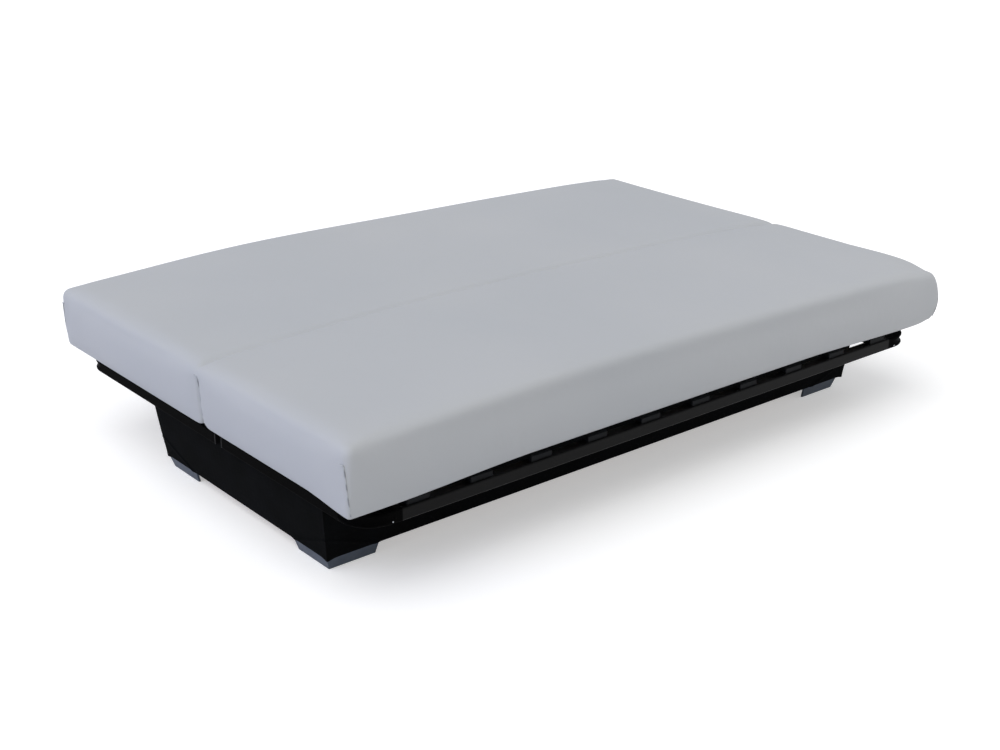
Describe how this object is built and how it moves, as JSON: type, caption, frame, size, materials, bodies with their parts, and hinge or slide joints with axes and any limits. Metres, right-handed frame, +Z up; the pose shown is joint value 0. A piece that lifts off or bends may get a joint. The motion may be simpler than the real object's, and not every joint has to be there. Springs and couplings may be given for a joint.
{
  "type": "sofa bed",
  "caption": "Fold-down sofa bed opened flat: a soft two-part mattress on slatted black tube frames, hinged over a low black storage box on corner feet.",
  "frame": {"origin": "on the floor, under the middle of the mattress of the opened bed", "axes": "+X to the sitter's left along the length of the bed (right in the front view), -Y towards the front of the seat, +Z up"},
  "size_m": [1.9, 1.2998, 0.399],
  "materials": {
    "mattress_fabric": "woven polyester cover",
    "foam": "open-cell polyurethane foam",
    "black_steel": "satin black powder coat",
    "cap_plastic": "dark grey moulded plastic",
    "black_plastic": "black moulded plastic",
    "slat_wood": "beech plywood",
    "box_fabric": "black non-woven cover",
    "hardboard": "smooth hardboard",
    "board_wood": "particle board and pine",
    "foot_plastic": "silver grey moulded plastic",
    "zinc_steel": "zinc plated",
    "hinge_steel": "zinc plated pressed steel",
    "spring_steel": "oil tempered wire"
  },
  "bodies": {
    "base": {"base_plate_bolts": "zinc_steel", "base_plate_left": "hinge_steel", "base_plate_right": "hinge_steel", "box_back_board": "board_wood", "box_cover": "box_fabric", "box_floor": "hardboard", "box_front_board": "board_wood", "box_left_board": "board_wood", "box_right_board": "board_wood", "corner_posts": "board_wood", "foot_back_left": "foot_plastic", "foot_back_right": "foot_plastic", "foot_front_left": "foot_plastic", "foot_front_right": "foot_plastic", "foot_screws": "zinc_steel", "hinge_cleats": "board_wood", "mattress_fold": "mattress_fabric", "pawl_spring_left": "spring_steel", "pawl_spring_right": "spring_steel", "pivot_rivets": "hinge_steel"},
    "seat": {"seat_arm_bolts": "zinc_steel", "seat_arm_left": "hinge_steel", "seat_arm_right": "hinge_steel", "seat_frame_tube": "black_steel", "seat_inner_rail": "black_steel", "seat_mattress_core": "foam", "seat_mattress_cover": "mattress_fabric", "seat_slat_1": "slat_wood", "seat_slat_10": "slat_wood", "seat_slat_2": "slat_wood", "seat_slat_3": "slat_wood", "seat_slat_4": "slat_wood", "seat_slat_5": "slat_wood", "seat_slat_6": "slat_wood", "seat_slat_7": "slat_wood", "seat_slat_8": "slat_wood", "seat_slat_9": "slat_wood", "seat_slat_caps": "cap_plastic", "seat_tube_plugs": "black_plastic"},
    "back": {"back_arm_bolts": "zinc_steel", "back_arm_left": "hinge_steel", "back_arm_right": "hinge_steel", "back_frame_tube": "black_steel", "back_inner_rail": "black_steel", "back_mattress_core": "foam", "back_mattress_cover": "mattress_fabric", "back_slat_1": "slat_wood", "back_slat_10": "slat_wood", "back_slat_2": "slat_wood", "back_slat_3": "slat_wood", "back_slat_4": "slat_wood", "back_slat_5": "slat_wood", "back_slat_6": "slat_wood", "back_slat_7": "slat_wood", "back_slat_8": "slat_wood", "back_slat_9": "slat_wood", "back_slat_caps": "cap_plastic", "back_tube_plugs": "black_plastic"},
    "pawl_left": {"pawl_left": "hinge_steel"},
    "pawl_right": {"pawl_right": "hinge_steel"}
  },
  "joints": [
    {"name": "seat_lift", "type": "hinge", "parent": "base", "child": "seat", "pos_m": [0, -0.056, 0.222], "axis": [-1, 0, 0], "range_deg": [0, 15]},
    {"name": "back_fold", "type": "hinge", "parent": "base", "child": "back", "pos_m": [0, -0.056, 0.222], "axis": [1, 0, 0], "range_deg": [0, 70], "deforming": ["mattress_fold"]},
    {"name": "pawl_left_swing", "type": "hinge", "parent": "base", "child": "pawl_left", "pos_m": [-0.8605, -0.092, 0.172], "axis": [1, 0, 0], "range_deg": [0, 8], "deforming": ["pawl_spring_left"]},
    {"name": "pawl_right_swing", "type": "hinge", "parent": "base", "child": "pawl_right", "pos_m": [0.8605, -0.092, 0.172], "axis": [1, 0, 0], "range_deg": [0, 8], "deforming": ["pawl_spring_right"]}
  ]
}
